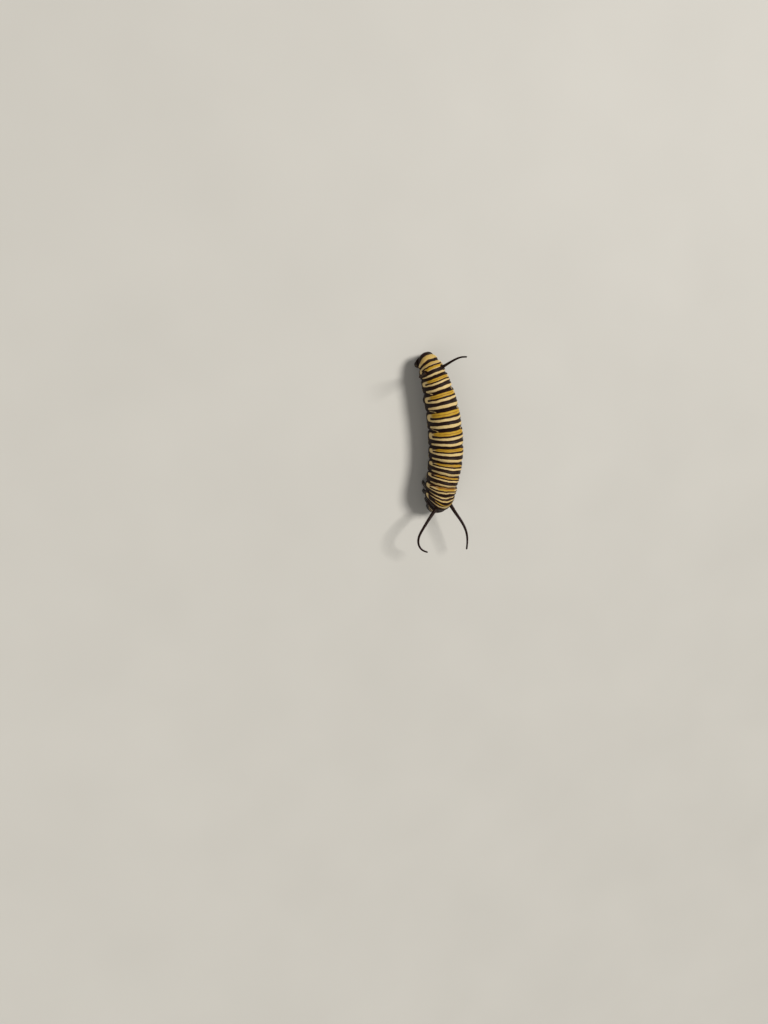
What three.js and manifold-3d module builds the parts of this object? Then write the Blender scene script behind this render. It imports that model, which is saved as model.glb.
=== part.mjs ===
// A monarch butterfly larva of the last stage, resting with its head tucked down, at life size.
// Millimetres. +Z is up, the head points along -Y and the larva's left side is towards +X.
// Every piece of flesh is placed on one bent body tube: s is the distance along its axis from the
// front of the first thorax ring, and the angle goes round it from the middle of the back, with the
// larva's left side positive.
import * as THREE from "three";
import { mergeVertices } from "three/addons/utils/BufferGeometryUtils.js";
import Module from "manifold-3d";

const wasm = await Module();
wasm.setup();

// Body rings from the head to the tail. Yaw turns the axis towards +X as it runs to the rear, rise
// lifts it, and roll turns the back towards the larva's left.
const SEGMENTS = [
  { name: "thorax_1", length: 1.55, width: 4.6, yaw: 6, rise: 66, roll: 20 },
  { name: "thorax_2", length: 2.65, width: 6.25, yaw: 3, rise: 28, roll: 16 },
  { name: "thorax_3", length: 1.98, width: 7.1, yaw: 6, rise: 4, roll: 8 },
  { name: "abdomen_1", length: 2.24, width: 7.15, yaw: 13, rise: -3, roll: 3 },
  { name: "abdomen_2", length: 2.8, width: 7.4, yaw: 10.5, rise: -5, roll: 1 },
  { name: "abdomen_3", length: 3.37, width: 7.6, yaw: 4, rise: -4, roll: 0 },
  { name: "abdomen_4", length: 4.1, width: 7.65, yaw: -3.5, rise: -1, roll: 0 },
  { name: "abdomen_5", length: 4.41, width: 7.35, yaw: -8.5, rise: 0, roll: 0 },
  { name: "abdomen_6", length: 4.17, width: 6.95, yaw: -13.5, rise: 0, roll: 0 },
  { name: "abdomen_7", length: 3.35, width: 6.15, yaw: -17.5, rise: -2, roll: 0 },
  { name: "abdomen_8", length: 2.85, width: 5.4, yaw: -21, rise: -9, roll: 0 },
  { name: "abdomen_9", length: 1.3, width: 4.3, yaw: -30, rise: -22, roll: 0 },
  { name: "abdomen_10", length: 1.0, width: 3.3, yaw: -37, rise: -38, roll: 0 },
];
const AXIS_HEIGHT = 4.6; // of the fourth abdominal ring
const MIDDLE = { x: -1.633, y: -2.783 }; // of the whole box, which the finished group has over 0, 0
const BACK_HEIGHT = 0.97; // of the half width
const BELLY_DEPTH = 0.9; // of the half width
const GAP = 0.26; // between two rings of the body
const ROOT_GAP = 0.2; // between the body and what grows from it

// The deep folds between rings, the shallow creases inside one, and the fold along each flank.
const FOLD_DEPTH = 0.24;
const FOLD_WIDTH = 0.26;
const CREASES = [0.28, 0.52, 0.76]; // of a ring's length
const CREASE_DEPTH = 0.07;
const CREASE_WIDTH = 0.16;
const FLANK_FOLD = { angle: 116, spread: 15, height: 0.16 };
const NECK = { width: 0.86, length: 0.7 }; // the first ring draws in towards the head
const TAIL_ROUND = 1.25; // length over which the last ring rounds off
const BODY_SIDES = 24;
const RING_STATIONS = [0.08, 0.18, 0.28, 0.4, 0.52, 0.64, 0.76, 0.88];
const TAIL_STATIONS = [0.2, 0.45, 0.65, 0.8, 0.9, 0.97];

// Filaments: each row is a stretch with its length, its heading from straight ahead towards the
// larva's left, and its rise.
const FRONT_ROOT = { ring: "thorax_2", place: 0.2, angle: 44 };
const REAR_ROOT = { ring: "abdomen_8", place: 0.35, angle: 47 };
const FRONT_RADIUS = [0.43, 0.25];
const REAR_RADIUS = [0.34, 0.25];
const FILAMENT_SIDES = 8;
const FILAMENTS = {
  filament_front_right: {
    root: FRONT_ROOT,
    side: -1,
    radius: FRONT_RADIUS,
    steps: 20,
    rows: [
      [1.85, -48, 26], [1.85, -42, 20], [1.85, -37, 11], [1.85, -28, -1],
      [1.75, 1, -13], [1.75, 32, -18], [1.75, 64, -16],
    ],
  },
  filament_front_left: {
    root: FRONT_ROOT,
    side: 1,
    radius: FRONT_RADIUS,
    steps: 18,
    rows: [
      [1.65, 27, 26], [1.65, 31, 27], [1.65, 30, 12], [1.65, 24, 1],
      [1.65, 14, -9], [1.65, 7, -17], [1.65, 1, -18],
    ],
  },
  filament_rear_right: {
    root: REAR_ROOT,
    side: -1,
    radius: REAR_RADIUS,
    steps: 11,
    rows: [[1.45, -97, 74], [1.45, -88, 66], [1.45, -78, 57], [1.45, -68, 47]],
  },
  filament_rear_left: {
    root: REAR_ROOT,
    side: 1,
    radius: REAR_RADIUS,
    steps: 11,
    rows: [[1.45, 128, 40], [1.45, 124, 30], [1.45, 112, 13], [1.45, 90, -7]],
  },
};
const FILAMENT_TIP = { from: 0.94, part: 0.72 }; // the last step draws in to a blunt end
const ROOT_SUNK = 0.55; // how far a root goes into the body before it is trimmed

// Legs of the thorax: where the hip is, how far out and back the tip stands, and how thick it is.
const THORAX_LEGS = [
  { ring: "thorax_1", place: 0.4, angle: 146, out: 0, back: -0.75, radius: 0.36 },
  { ring: "thorax_2", place: 0.54, angle: 147, out: 0.15, back: 0.4, radius: 0.42 },
  { ring: "thorax_3", place: 0.5, angle: 147, out: 0.45, back: 0.7, radius: 0.47 },
];
const LEG_THICKNESS = [1.3, 1.3, 1.2, 0.98, 1.08, 0.8, 0.84, 0.62, 0.6, 0.5];
const LEG_SIDES = 9;
const HIP_SUNK = 0.28; // of the way from the hip to the body's axis
const KNEE = { part: 0.42, out: 0.3 }; // part of the way down, and how far it bows out
const ANKLE_HEIGHT = 0.45;
const FOOT_HEIGHT = 0.12; // what lies below it is set flat on the floor

// Fleshy legs: radius of each level from the root to the sole, as parts of its widest.
const PROLEG_RINGS = ["abdomen_3", "abdomen_4", "abdomen_5", "abdomen_6"];
const PROLEG = { place: 0.52, angle: 143, root: 1.42, spread: 1.75, ahead: 0, along: 1.12 };
const ANAL_LEG = { place: 0, angle: 130, root: 1.1, spread: 1.35, ahead: 0.75, along: 1.05 };
const PROLEG_LEVELS = [
  { level: 1, part: 1 },
  { level: 0.75, part: 0.98 },
  { level: 0.5, part: 0.84 },
  { level: 0.3, part: 0.7 },
  { level: 0.16, part: 0.62 },
  { level: 0.08, part: 0.68 },
  { level: 0, part: 0.58 },
];
const PROLEG_SIDES = 14;
const PROLEG_SUNK = 0.3; // of the way from the skin to the body's axis
const PROLEG_LEAN = 1.25; // the foot leans out in its upper part and stands straighter below

// Head, in its own frame: x to the larva's right, y out of the face and z up to the crown.
const FACE_DOWN = 76; // of the face below straight ahead
const HEAD_HALF = { width: 1.76, front: 1.22, back: 1.1, height: 1.66 };
const HEAD_AHEAD = 0.68; // middle of the head in front of the first ring
const HEAD_ASIDE = 0.3; // and towards the right, as the head is turned a little
const CROWN_NOTCH = { depth: 0.2, width: 0.32 };
const NECK_GAP = 0.26;
const NECK_CUT = 9; // side of the block that cuts the head off flat in front of the neck
const FACE_PLATE = { top: -0.95, bottom: -1.86, half: 0.62, back: 0.64, thick: 0.34 };
const UPPER_LIP = { corner: 0.3, half: 0.45, notch: 0.16 };
const CHIN = { y: -0.34, z: -1.6, across: 0.66, deep: 0.32, high: 0.36 };
const PALP = { out: 0.4, y: -0.3, z: -1.98, length: 0.5, radius: 0.15 };
const SPINNERET = { y: -0.42, z: -1.98, length: 0.5, radius: 0.12 };
const MOUTH_TAPER = [
  [1, 0], [0.9, 0.6], [0.45, 1],
]; // of a palp and the spinneret: part of the radius, and part of the length
const JAW = { x: 0.42, y: 0.33, z: -1.76, across: 0.33, deep: 0.2, high: 0.42 };
const JAW_GAP = 0.12;
const FEELER = { toward: V(0.98, 0.56, -0.95), aim: V(0.45, 0.3, -0.85), radius: 0.25, gap: 0.12 };
const FEELER_SUNK = 0.06;
const FEELER_JOINTS = [
  [1, 0], [1, 0.28], [0.76, 0.32], [0.76, 0.56], [0.42, 0.6], [0.3, 0.76],
]; // part of the radius, and distance out
const EYE_PATCH = { toward: V(1.45, 0.3, -0.45), across: 0.46, thick: 0.3, gap: 0.12 };
const EYE = { radius: 0.12, rise: 0.22, arc: 0.3, inner: -0.06 };
const EYE_PLACES = [-115, -58, 0, 58, 115]; // on the arc, in degrees, with a sixth inside it

function V(x, y, z) {
  return new THREE.Vector3(x, y, z);
}

function radians(degrees) {
  return THREE.MathUtils.degToRad(degrees);
}

// A curve through values that stand at uneven places, level beyond its ends.
function smooth(places, values) {
  const last = places.length - 1;
  const lean = (i) => (values[i + 1] - values[i]) / (places[i + 1] - places[i]);
  const slope = places.map((place, i) => {
    if (i === 0) return lean(0);
    if (i === last) return lean(last - 1);
    const before = place - places[i - 1];
    const after = places[i + 1] - place;
    return (lean(i - 1) * after + lean(i) * before) / (before + after);
  });
  return (where) => {
    const at = THREE.MathUtils.clamp(where, places[0], places[last]);
    const ahead = places.findIndex((place, k) => k > 0 && at <= place);
    const i = ahead - 1;
    const width = places[i + 1] - places[i];
    const t = (at - places[i]) / width;
    const start = (1 + 2 * t) * (1 - t) ** 2 * values[i] + t * (1 - t) ** 2 * width * slope[i];
    const end = t * t * (3 - 2 * t) * values[i + 1] - t * t * (1 - t) * width * slope[i + 1];
    return start + end;
  };
}

function borders(lengths) {
  const found = [0];
  for (const length of lengths) found.push(found.at(-1) + length);
  return found;
}

function middles(edges) {
  return edges.slice(1).map((edge, i) => (edge + edges[i]) / 2);
}

// The route of a point that sets out from start and follows a direction that changes smoothly.
const ROUTE_STEP = 0.02;
function route(length, direction, start) {
  const count = Math.ceil(length / ROUTE_STEP);
  const step = length / count;
  const points = [start.clone()];
  for (let i = 0; i < count; i++)
    points.push(points[i].clone().addScaledVector(direction((i + 0.5) * step), step));
  return (s) => {
    const place = THREE.MathUtils.clamp(s / step, 0, count - 1e-9);
    const i = Math.floor(place);
    return points[i].clone().lerp(points[i + 1], place - i);
  };
}

// Body tube
const EDGES = borders(SEGMENTS.map((ring) => ring.length));
const LENGTH = EDGES.at(-1);
const RING_INDEX = Object.fromEntries(SEGMENTS.map((ring, i) => [ring.name, i]));
const column = (key) => smooth(middles(EDGES), SEGMENTS.map((ring) => ring[key]));
const widthAt = column("width");
const yawAt = column("yaw");
const riseAt = column("rise");
const rollAt = column("roll");

function heading(yaw, rise) {
  const flat = Math.cos(radians(rise));
  return V(Math.sin(radians(yaw)) * flat, Math.cos(radians(yaw)) * flat, Math.sin(radians(rise)));
}

const tangentAt = (s) => heading(yawAt(s), riseAt(s));
const looseAxis = route(LENGTH, tangentAt, V(0, 0, 0));

function placeOn(ring, part) {
  return EDGES[RING_INDEX[ring]] + part * SEGMENTS[RING_INDEX[ring]].length;
}

const ANCHOR = { s: placeOn("abdomen_4", 0.365), at: V(0, 0.1, AXIS_HEIGHT) };
const AXIS_SHIFT = ANCHOR.at.clone().sub(looseAxis(ANCHOR.s));
const axisAt = (s) => looseAxis(s).add(AXIS_SHIFT);

function frameAt(s) {
  const yaw = radians(yawAt(s));
  const tangent = tangentAt(s);
  const level = V(Math.cos(yaw), -Math.sin(yaw), 0);
  const side = level.applyAxisAngle(tangent, radians(rollAt(s)));
  const up = side.clone().cross(tangent);
  return { middle: axisAt(s), tangent, side, up };
}

function bell(distance, width) {
  return Math.exp(-((distance / width) ** 2));
}

function foldDepth(s) {
  let depth = 0;
  EDGES.slice(1, -1).forEach((edge) => {
    depth += FOLD_DEPTH * bell(s - edge, FOLD_WIDTH);
  });
  SEGMENTS.forEach((ring) => {
    for (const part of CREASES)
      depth += CREASE_DEPTH * bell(s - placeOn(ring.name, part), CREASE_WIDTH);
  });
  return depth;
}

// How much of its width the tube has near its two ends.
function endPart(s) {
  const front = THREE.MathUtils.clamp(1 - s / NECK.length, 0, 1);
  const rear = THREE.MathUtils.clamp(1 - (LENGTH - s) / TAIL_ROUND, 0, 1);
  return (1 - (1 - NECK.width) * front * front) * Math.sqrt(Math.max(1 - rear ** 2.4, 0.004));
}

// A point of the skin, or of a tube that is wider by grow and has no folds.
function skinPoint(s, angle, grow = 0) {
  const { middle, side, up } = frameAt(s);
  const around = radians(angle);
  const wrapped = Math.abs(((angle + 540) % 360) - 180);
  const flank = FLANK_FOLD.height * bell(wrapped - FLANK_FOLD.angle, FLANK_FOLD.spread);
  const fold = grow ? 0 : foldDepth(s);
  const half = (widthAt(s) / 2) * endPart(s) - fold * endPart(s) + flank * endPart(s) + grow;
  const tall = Math.cos(around) > 0 ? BACK_HEIGHT : BELLY_DEPTH;
  return middle
    .addScaledVector(side, half * Math.sin(around))
    .addScaledVector(up, half * tall * Math.cos(around));
}

function skinRing(s, grow = 0) {
  return Array.from({ length: BODY_SIDES }, (_, i) => skinPoint(s, (360 * i) / BODY_SIDES, grow));
}

// Closed surfaces
function closedSurface(points, faces) {
  let volume = 0;
  for (let i = 0; i < faces.length; i += 3) {
    const [a, b, c] = [points[faces[i]], points[faces[i + 1]], points[faces[i + 2]]];
    volume += a.dot(b.clone().cross(c));
  }
  const turned = volume < 0 ? faces.slice().reverse() : faces;
  return new THREE.BufferGeometry().setFromPoints(points).setIndex(turned);
}

function middleOf(ring) {
  return ring.reduce((sum, point) => sum.add(point), V(0, 0, 0)).divideScalar(ring.length);
}

// Rings of equal count joined one to the next, with a fan over each end.
function loft(rings) {
  const sides = rings[0].length;
  const points = rings.flat();
  const faces = [];
  const frontMiddle = points.push(middleOf(rings[0])) - 1;
  const rearMiddle = points.push(middleOf(rings.at(-1))) - 1;
  const rearRing = (rings.length - 1) * sides;
  for (let i = 0; i < sides; i++) {
    const next = (i + 1) % sides;
    for (let row = 0; row < rearRing; row += sides) {
      faces.push(row + i, row + next, row + sides + next);
      faces.push(row + i, row + sides + next, row + sides + i);
    }
    faces.push(frontMiddle, next, i);
    faces.push(rearMiddle, rearRing + i, rearRing + next);
  }
  return closedSurface(points, faces);
}

// A round piece whose middle follows a curve, with its radius given along it.
function sweep(curve, radiusAt, steps, sides) {
  const frames = curve.computeFrenetFrames(steps, false);
  const rings = [];
  for (let k = 0; k <= steps; k++) {
    const middle = curve.getPointAt(k / steps);
    const radius = radiusAt(k / steps);
    rings.push(
      Array.from({ length: sides }, (_, i) => {
        const around = (2 * Math.PI * i) / sides;
        return middle
          .clone()
          .addScaledVector(frames.normals[k], radius * Math.cos(around))
          .addScaledVector(frames.binormals[k], radius * Math.sin(around));
      }),
    );
  }
  return loft(rings);
}

function bare(geometry) {
  geometry.deleteAttribute("normal");
  geometry.deleteAttribute("uv");
  return mergeVertices(geometry, 1e-4);
}

// A ball with each point of its unit sphere moved by place.
function moulded(place, across, down) {
  const geometry = bare(new THREE.SphereGeometry(1, across, down));
  const points = geometry.getAttribute("position");
  const point = V(0, 0, 0);
  for (let i = 0; i < points.count; i++) {
    place(point.fromBufferAttribute(points, i));
    points.setXYZ(i, point.x, point.y, point.z);
  }
  return geometry;
}

function solidOf(geometry) {
  return new wasm.Manifold(
    new wasm.Mesh({
      numProp: 3,
      vertProperties: geometry.getAttribute("position").array,
      triVerts: new Uint32Array(geometry.index.array),
    }),
  );
}

function largest(solid) {
  return solid.decompose().sort((a, b) => b.volume() - a.volume())[0];
}

function geometryOf(solid) {
  const { numProp, vertProperties, triVerts } = largest(solid).getMesh();
  const points = new Float32Array((vertProperties.length / numProp) * 3);
  for (let i = 0; i < points.length / 3; i++)
    points.set(vertProperties.subarray(i * numProp, i * numProp + 3), i * 3);
  return new THREE.BufferGeometry()
    .setAttribute("position", new THREE.BufferAttribute(points, 3))
    .setIndex(new THREE.BufferAttribute(triVerts, 1));
}

// Finishes
function finish(color, roughness) {
  return new THREE.MeshStandardMaterial({ color, roughness, metalness: 0 });
}

const SKIN_TONES = [0xd4be8c, 0xc8a032, 0x241a12];
const BLACK_FLESH = 0x17120f;
const BLACK_SHELL = 0x0d0b0a;
const larva = new THREE.Group();

function addPiece(name, geometry, material) {
  const mesh = new THREE.Mesh(geometry, material);
  mesh.name = name;
  larva.add(mesh);
}

// Rings of the body
SEGMENTS.forEach((ring, i) => {
  const start = EDGES[i] + (i > 0 ? GAP / 2 : 0);
  const isTail = i === SEGMENTS.length - 1;
  const parts = isTail ? TAIL_STATIONS : RING_STATIONS;
  const stations = [start, ...parts.map((part) => placeOn(ring.name, part))];
  stations.push(EDGES[i + 1] - (isTail ? 0 : GAP / 2));
  const surface = loft(stations.map((s) => skinRing(s)));
  addPiece(ring.name, surface, finish(SKIN_TONES[i % SKIN_TONES.length], 0.5));
});

// The tube that roots are trimmed to
const TRIM_STEPS = 34;
const tailStart = placeOn("abdomen_10", 0);
const trimRings = Array.from({ length: TRIM_STEPS + 1 }, (_, i) => {
  return skinRing((tailStart * i) / TRIM_STEPS, ROOT_GAP);
});
for (const part of TAIL_STATIONS) trimRings.push(skinRing(placeOn("abdomen_10", part), ROOT_GAP));
const beyondTail = tangentAt(LENGTH).multiplyScalar(ROOT_GAP);
trimRings.push(skinRing(LENGTH, ROOT_GAP).map((point) => point.add(beyondTail)));
const trimTube = solidOf(loft(trimRings));

function trimmed(geometry) {
  return geometryOf(solidOf(geometry).subtract(trimTube));
}

// Filaments
function filament({ root, side, radius, steps, rows }) {
  const edges = borders(rows.map((row) => row[0]));
  const places = middles(edges);
  const turn = smooth(places, rows.map((row) => row[1]));
  const rise = smooth(places, rows.map((row) => row[2]));
  const direction = (s) => heading(turn(s), rise(s)).multiply(V(1, -1, 1));
  const base = skinPoint(placeOn(root.ring, root.place), side * root.angle, ROOT_GAP);
  const along = route(edges.at(-1), direction, base);
  const inner = base.clone().addScaledVector(direction(0), -ROOT_SUNK);
  const points = [inner, base];
  for (const edge of places.concat(edges.at(-1))) points.push(along(edge));
  const tip = (t) => (t > FILAMENT_TIP.from ? FILAMENT_TIP.part : 1);
  const radiusAt = (t) => THREE.MathUtils.lerp(...radius, t) * tip(t);
  return sweep(new THREE.CatmullRomCurve3(points), radiusAt, steps, FILAMENT_SIDES);
}

for (const [name, shape] of Object.entries(FILAMENTS))
  addPiece(name, trimmed(filament(shape)), finish(BLACK_FLESH, 0.55));

// Jointed legs of the thorax, each standing on a small flat tip
function outwards(s, side) {
  const level = frameAt(s).side.setZ(0).normalize();
  return level.multiplyScalar(side);
}

function thoraxLeg({ ring, place, angle, out, back, radius }, side) {
  const s = placeOn(ring, place);
  const hip = skinPoint(s, side * angle, ROOT_GAP);
  const outward = outwards(s, side);
  const rearward = V(0, 1, 0);
  const inner = hip.clone().lerp(axisAt(s), HIP_SUNK);
  const tip = hip.clone().addScaledVector(outward, out).addScaledVector(rearward, back).setZ(0);
  const ankle = tip.clone().setZ(ANKLE_HEIGHT);
  const knee = hip.clone().lerp(tip, KNEE.part).addScaledVector(outward, KNEE.out);
  const curve = new THREE.CatmullRomCurve3([inner, hip, knee, ankle, tip]);
  const thickness = smooth(
    LEG_THICKNESS.map((_, i) => i / (LEG_THICKNESS.length - 1)),
    LEG_THICKNESS,
  );
  const surface = sweep(curve, (t) => radius * thickness(t), LEG_THICKNESS.length, LEG_SIDES);
  return levelledFoot(surface);
}

// Sets what lies near the floor flat on it.
function levelledFoot(surface) {
  const points = surface.getAttribute("position");
  for (let i = 0; i < points.count; i++) {
    if (points.getZ(i) < FOOT_HEIGHT) points.setZ(i, 0);
  }
  return surface;
}

// Fleshy legs: level rings from the root inside the body to a flat sole
function proleg(ring, { place, angle, root, spread, ahead, along }, side) {
  const s = placeOn(ring, place);
  const { middle } = frameAt(s);
  const top = skinPoint(s, side * angle).lerp(middle, PROLEG_SUNK);
  const outward = outwards(s, side);
  const rearward = V(-outward.y, outward.x, 0).multiplyScalar(side);
  const sole = middle.clone().addScaledVector(outward, spread).addScaledVector(rearward, -ahead);
  sole.setZ(0);
  const rings = PROLEG_LEVELS.map(({ level, part }) => {
    const centre = sole.clone().lerp(top, level ** PROLEG_LEAN).setZ(top.z * level);
    return Array.from({ length: PROLEG_SIDES }, (_, i) => {
      const around = (2 * Math.PI * i) / PROLEG_SIDES;
      return centre
        .clone()
        .addScaledVector(outward, root * part * Math.cos(around))
        .addScaledVector(rearward, root * part * along * Math.sin(around));
    });
  });
  return loft(rings);
}

const SIDES = { left: 1, right: -1 };
for (const [word, side] of Object.entries(SIDES)) {
  THORAX_LEGS.forEach((leg, i) => {
    addPiece(`leg_${i + 1}_${word}`, trimmed(thoraxLeg(leg, side)), finish(BLACK_SHELL, 0.3));
  });
  for (const ring of PROLEG_RINGS) {
    const name = `proleg_${ring.split("_")[1]}_${word}`;
    addPiece(name, trimmed(proleg(ring, PROLEG, side)), finish(BLACK_FLESH, 0.55));
  }
  const anal = trimmed(proleg("abdomen_10", ANAL_LEG, side));
  addPiece(`proleg_anal_${word}`, anal, finish(BLACK_FLESH, 0.55));
}

// Head frame
const front = frameAt(0);

function headFrame() {
  const ahead = front.tangent.clone().setZ(0).normalize().negate();
  const down = radians(FACE_DOWN);
  const face = ahead.multiplyScalar(Math.cos(down)).setZ(-Math.sin(down));
  const right = front.side.clone().negate().projectOnPlane(face).normalize();
  const crown = right.clone().cross(face);
  const middle = front.middle.clone().addScaledVector(front.tangent, -HEAD_AHEAD);
  middle.addScaledVector(right, HEAD_ASIDE);
  return new THREE.Matrix4().makeBasis(right, face, crown).setPosition(middle);
}

const headMatrix = headFrame();

function headSolid(geometry) {
  return solidOf(geometry.applyMatrix4(headMatrix));
}

// Moves a point of the unit sphere to the head capsule: two domes with a groove between them.
function capsule(point, grow = 0) {
  const { x, y, z } = point;
  const depth = y > 0 ? HEAD_HALF.front : HEAD_HALF.back;
  const notch = CROWN_NOTCH.depth * bell(x, CROWN_NOTCH.width) * Math.max(z, 0) ** 2;
  return point.set(
    x * (HEAD_HALF.width + grow),
    y * (depth + grow),
    z * (HEAD_HALF.height + grow) - notch,
  );
}

function capsuleSolid(grow = 0) {
  return headSolid(moulded((point) => capsule(point, grow), 22, 14));
}

// The point of the capsule in a direction from the middle of the head, and the way out of it there.
function onCapsule(toward, side, grow = 0) {
  const half = V(HEAD_HALF.width, HEAD_HALF.front, HEAD_HALF.height);
  const unit = toward.clone().multiply(V(-side, 1, 1)).divide(half).normalize();
  const out = unit.clone().divide(half).normalize();
  return { at: capsule(unit, grow), out };
}

function ball(centre, across, deep, high) {
  return moulded((point) => point.multiply(V(across, deep, high)).add(centre), 10, 8);
}

// A round peg along a direction, with its profile given as parts of the radius and distances out.
function peg(at, aim, radius, joints) {
  const profile = joints.map(([part, out]) => new THREE.Vector2(radius * part, out));
  profile.unshift(new THREE.Vector2(0, joints[0][1]));
  profile.push(new THREE.Vector2(0, joints.at(-1)[1]));
  const turned = new THREE.Quaternion().setFromUnitVectors(V(0, 1, 0), aim.clone().normalize());
  const lathe = bare(new THREE.LatheGeometry(profile, 8));
  return lathe.applyQuaternion(turned).translate(at.x, at.y, at.z);
}

// The plate over the mouth: a tapered clypeus that ends in a notched upper lip.
function facePlate() {
  const { top, bottom, half, back, thick } = FACE_PLATE;
  const lip = UPPER_LIP;
  const rightHalf = [
    [half * 0.8, top], [half, bottom + lip.corner], [lip.half, bottom], [lip.notch, bottom],
  ];
  const leftHalf = rightHalf.map(([x, z]) => [-x, z]).reverse();
  const corners = [...rightHalf, [0, bottom + lip.notch], ...leftHalf];
  const outline = new THREE.Shape(corners.map(([x, z]) => new THREE.Vector2(x, z)));
  const plate = bare(new THREE.ExtrudeGeometry(outline, { depth: thick, bevelEnabled: false }));
  return plate.rotateX(Math.PI / 2).translate(0, back + thick, 0);
}

// Eyes: a low lens in a socket of the head, with six small domes on it
function eyeFrame(side) {
  const { at, out } = onCapsule(EYE_PATCH.toward, side);
  const upward = V(0, 0, 1).projectOnPlane(out).normalize();
  const across = upward.clone().cross(out);
  return new THREE.Matrix4().makeBasis(across, upward, out).setPosition(at);
}

function lens(side, grow) {
  const { across, thick } = EYE_PATCH;
  const flat = bare(new THREE.SphereGeometry(1, 12, 6));
  return flat.scale(across + grow, across + grow, thick + grow).applyMatrix4(eyeFrame(side));
}

function eyes(side) {
  let joined = headSolid(lens(side, 0));
  const places = EYE_PLACES.map((degrees) => {
    const turn = radians(degrees);
    return V(EYE.arc * Math.sin(turn), EYE.arc * Math.cos(turn), EYE.rise);
  });
  places.push(V(0, EYE.inner, EYE.rise));
  for (const place of places) {
    const dome = bare(new THREE.SphereGeometry(EYE.radius, 6, 4));
    joined = joined.add(headSolid(dome.translate(...place).applyMatrix4(eyeFrame(side))));
  }
  return joined;
}

// Everything behind the flat face of the neck
function behindNeck() {
  const block = bare(new THREE.BoxGeometry(NECK_CUT, NECK_CUT, NECK_CUT));
  const turn = new THREE.Quaternion().setFromUnitVectors(V(0, 0, 1), front.tangent);
  const middle = front.middle.clone().addScaledVector(front.tangent, NECK_CUT / 2 - NECK_GAP);
  return solidOf(block.applyQuaternion(turn).translate(...middle));
}

function mouthPeg(foot, aim, { radius, length }) {
  const joints = MOUTH_TAPER.map(([part, out]) => [part, out * length]);
  return headSolid(peg(foot, aim, radius, joints));
}

let head = capsuleSolid();
head = head.add(headSolid(facePlate()));
head = head.add(headSolid(ball(V(0, CHIN.y, CHIN.z), CHIN.across, CHIN.deep, CHIN.high)));
const spinneretFoot = V(0, SPINNERET.y, SPINNERET.z + SPINNERET.length / 2);
head = head.add(mouthPeg(spinneretFoot, V(0, -0.2, -1), SPINNERET));
for (const side of Object.values(SIDES)) {
  const foot = V(-side * PALP.out, PALP.y, PALP.z + PALP.length / 2);
  head = head.add(mouthPeg(foot, V(0, 0, -1), PALP));
  head = head.subtract(headSolid(lens(side, EYE_PATCH.gap)));
}
addPiece("head", geometryOf(head.subtract(behindNeck())), finish(BLACK_SHELL, 0.28));

const jawTrim = capsuleSolid(JAW_GAP);
const feelerTrim = capsuleSolid(FEELER.gap);
for (const [word, side] of Object.entries(SIDES)) {
  addPiece(`eyes_${word}`, geometryOf(eyes(side)), finish(BLACK_SHELL, 0.12));

  const jaw = headSolid(ball(V(-side * JAW.x, JAW.y, JAW.z), JAW.across, JAW.deep, JAW.high));
  addPiece(`jaw_${word}`, geometryOf(jaw.subtract(jawTrim)), finish(BLACK_SHELL, 0.25));

  const { at } = onCapsule(FEELER.toward, side, FEELER.gap - FEELER_SUNK);
  const aim = FEELER.aim.clone().multiply(V(-side, 1, 1));
  const feeler = headSolid(peg(at, aim, FEELER.radius, FEELER_JOINTS));
  addPiece(`antenna_${word}`, geometryOf(feeler.subtract(feelerTrim)), finish(BLACK_SHELL, 0.3));
}

larva.position.set(-MIDDLE.x, -MIDDLE.y, 0);

export default larva;
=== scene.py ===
"""The looks of a monarch larva at life size: one banded skin, a glossy head, jointed legs and fine hairs."""

import math

import bpy
import numpy as np
from mathutils import Matrix, Vector


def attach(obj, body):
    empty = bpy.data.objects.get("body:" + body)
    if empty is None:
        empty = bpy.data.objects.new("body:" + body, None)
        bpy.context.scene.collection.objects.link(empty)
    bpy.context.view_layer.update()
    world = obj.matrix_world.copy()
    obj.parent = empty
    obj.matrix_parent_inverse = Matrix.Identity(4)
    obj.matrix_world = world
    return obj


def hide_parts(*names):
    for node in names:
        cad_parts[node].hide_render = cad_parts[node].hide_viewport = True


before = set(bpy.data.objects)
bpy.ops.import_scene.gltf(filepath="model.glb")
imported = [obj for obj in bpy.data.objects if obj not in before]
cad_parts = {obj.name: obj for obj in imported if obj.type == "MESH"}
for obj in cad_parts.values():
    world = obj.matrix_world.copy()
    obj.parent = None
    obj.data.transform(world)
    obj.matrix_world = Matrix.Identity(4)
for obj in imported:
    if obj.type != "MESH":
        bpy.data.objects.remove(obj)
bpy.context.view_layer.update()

# Lengths are in millimetres and angles in degrees until a mesh is made, which is in metres. Swells,
# seams, notches and the flank's fold are pairs of width and height.
MM = 0.001

# The photograph's view: where the camera looks from, and what it puts at one pixel
PHOTO_SIZE = (768, 1024)
LOOK_FROM = (-math.tan(math.radians(18)), math.tan(math.radians(7.3)), 1)
LOOK_AT = (1.633, 2.783, 4.8)
LOOK_AT_PIXEL = (446.2, 441.0)
PIXELS_PER_MM = 4.5
LENS = 27
SENSOR = 36

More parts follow.
